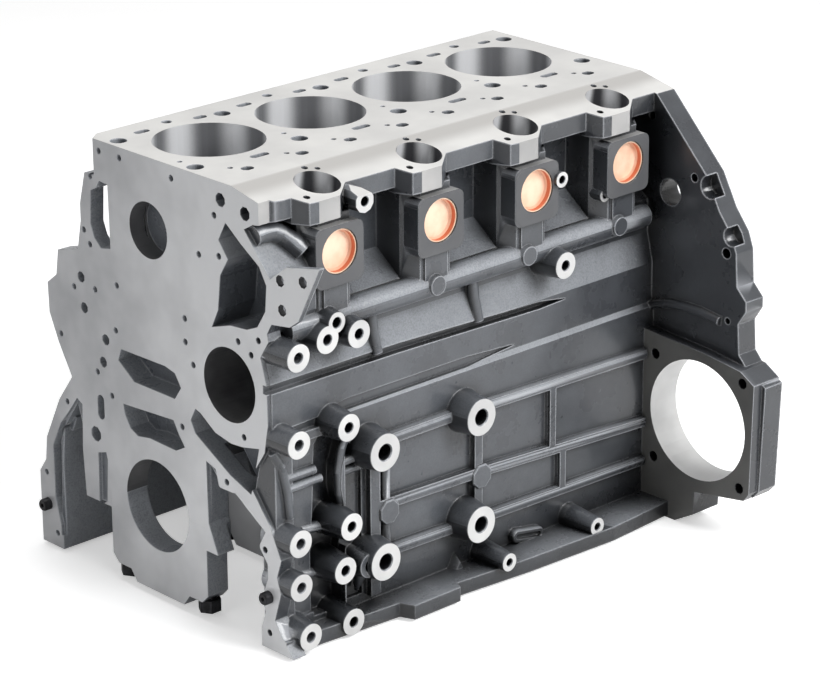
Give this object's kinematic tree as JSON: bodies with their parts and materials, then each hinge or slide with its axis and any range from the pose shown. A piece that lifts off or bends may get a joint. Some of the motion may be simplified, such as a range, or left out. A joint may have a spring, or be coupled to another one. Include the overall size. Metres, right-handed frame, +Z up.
{
  "type": "engine block",
  "caption": "Bare cast-iron in-line diesel cylinder block with bearing caps, tilted pump bores and core plugs.",
  "frame": {"origin": "on the crank axis in the plane of the machined front face", "axes": "+X along the crank axis from the front face to the flywheel face; +Z up along the cylinders to the deck; -Y to the side of the unit pumps and core plugs"},
  "size_m": [0.516, 0.493, 0.425],
  "materials": {
    "block_iron": "as cast, machined faces bright",
    "cap_iron": "as cast, machined seats",
    "bolt_steel": "black oxide",
    "plug_copper": "copper plated",
    "dowel_steel": "black oxide"
  },
  "bodies": {
    "root": {"cylinder_block": "block_iron", "main_bearing_cap_1": "cap_iron", "main_bearing_cap_2": "cap_iron", "main_bearing_cap_3": "cap_iron", "main_bearing_cap_4": "cap_iron", "main_bearing_cap_5": "cap_iron", "main_cap_bolts": "bolt_steel", "core_plugs": "plug_copper", "front_dowels": "dowel_steel"}
  },
  "joints": []
}
